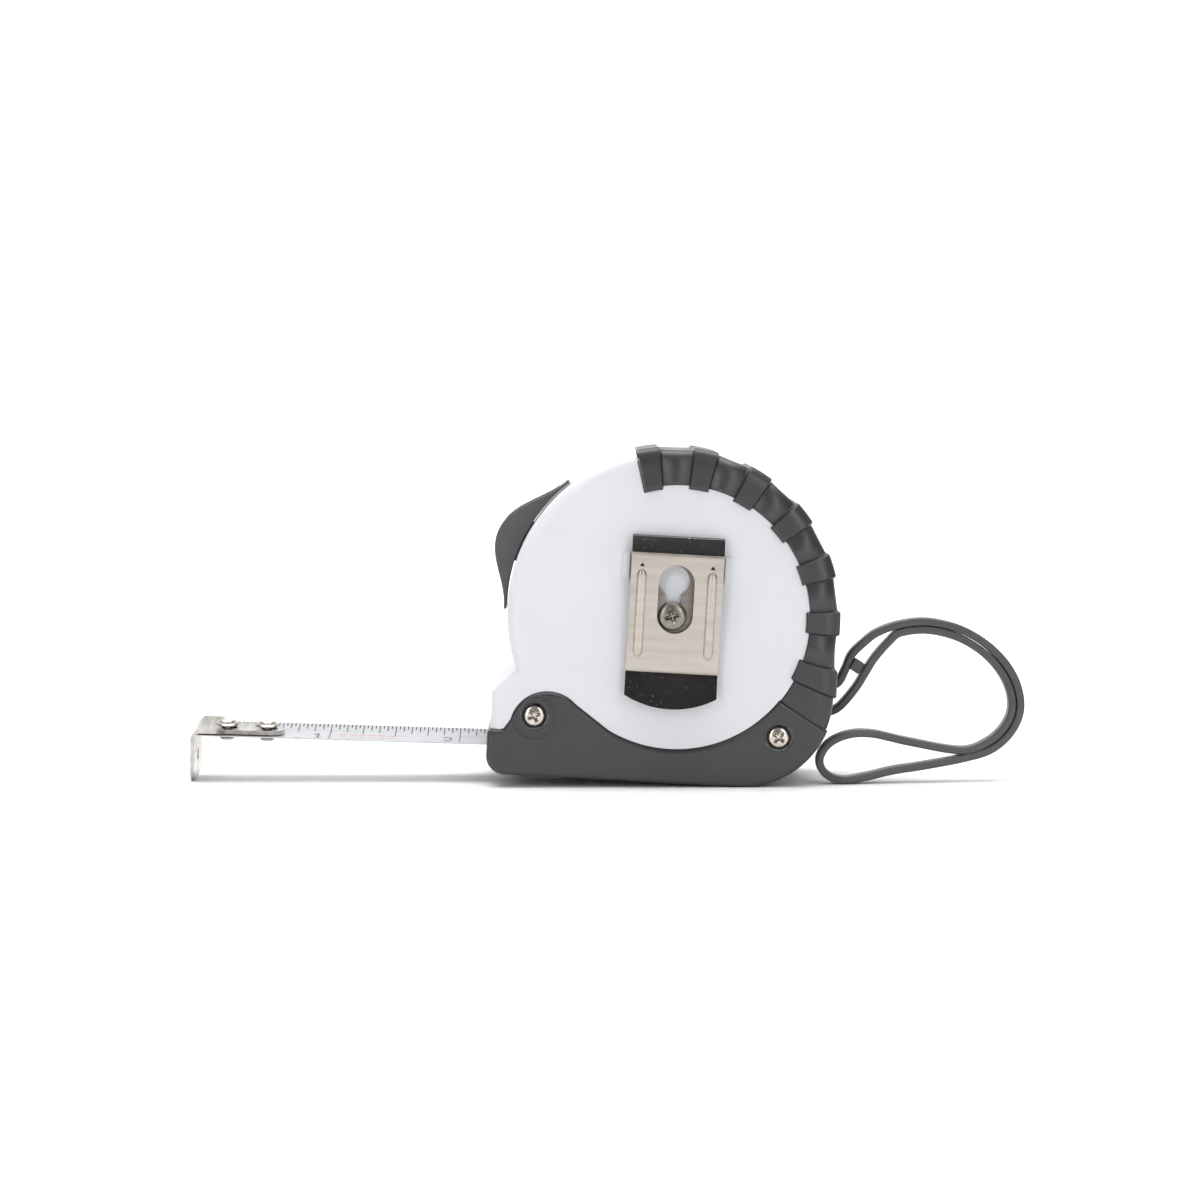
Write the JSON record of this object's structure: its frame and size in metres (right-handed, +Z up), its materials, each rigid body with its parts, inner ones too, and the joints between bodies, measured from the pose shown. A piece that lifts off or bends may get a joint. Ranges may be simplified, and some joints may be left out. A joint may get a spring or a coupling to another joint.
{
  "type": "tape measure",
  "caption": "Pocket tape measure with a white round case in dark ribbed rubber, its steel blade partly drawn out, with a belt clip and a wrist strap.",
  "frame": {"origin": "centre of the bounding box of everything but the wrist strap, at the floor it stands on", "axes": "+X along the drawn-out blade from the hook towards the back of the case, -Y the side with the belt clip, +Z up"},
  "size_m": [0.1619, 0.0318, 0.0653],
  "materials": {
    "white_plastic": "satin",
    "dark_rubber": "matte",
    "dark_plastic": "satin",
    "spool_plastic": "matte",
    "spring_steel": "blued",
    "blade_paint": "gloss",
    "nickel": "satin"
  },
  "bodies": {
    "case": {"case_half_clip_side": "white_plastic", "case_half_label_side": "white_plastic", "bumper_clip_side": "dark_rubber", "bumper_label_side": "dark_rubber", "grip_clip_side": "dark_rubber", "grip_label_side": "dark_rubber", "case_screw_front": "nickel", "case_screw_rear": "nickel", "clip_screw": "nickel", "wrist_strap": "dark_rubber", "strap_bridge": "dark_rubber"},
    "lock": {"thumb_lock": "dark_plastic"},
    "reel": {"spool": "spool_plastic", "spool_cover": "spool_plastic", "mainspring": "spring_steel", "blade_coil": "blade_paint"},
    "tape": {"blade": "blade_paint", "hook_rivet_1": "nickel", "hook_rivet_2": "nickel"},
    "hook": {"end_hook": "nickel"},
    "clip": {"belt_clip": "nickel"}
  },
  "joints": [
    {"name": "lock_slide", "type": "hinge", "parent": "case", "child": "lock", "pos_m": [0.03043, 0.00135, 0.03297], "axis": [0, -1, 0], "range_deg": [0, 4]},
    {"name": "reel_spin", "type": "hinge", "parent": "case", "child": "reel", "pos_m": [0.03043, 0.00135, 0.03297], "axis": [0, 1, 0], "range_deg": [-135, 0]},
    {"name": "tape_slide", "type": "slide", "parent": "case", "child": "tape", "axis": [-0.9995, 0, 0.0314], "range_m": [-0.05, 0]},
    {"name": "hook_play", "type": "slide", "parent": "tape", "child": "hook", "axis": [-0.9995, 0, 0.0314], "range_m": [0, 0.0008]},
    {"name": "clip_release", "type": "slide", "parent": "case", "child": "clip", "axis": [-0.0558, 0, -0.9984], "range_m": [0, 0.0067]}
  ],
  "couplings": [
    {"joint": "tape_slide", "follows": "reel_spin", "m_per_rad": 0.0212}
  ]
}
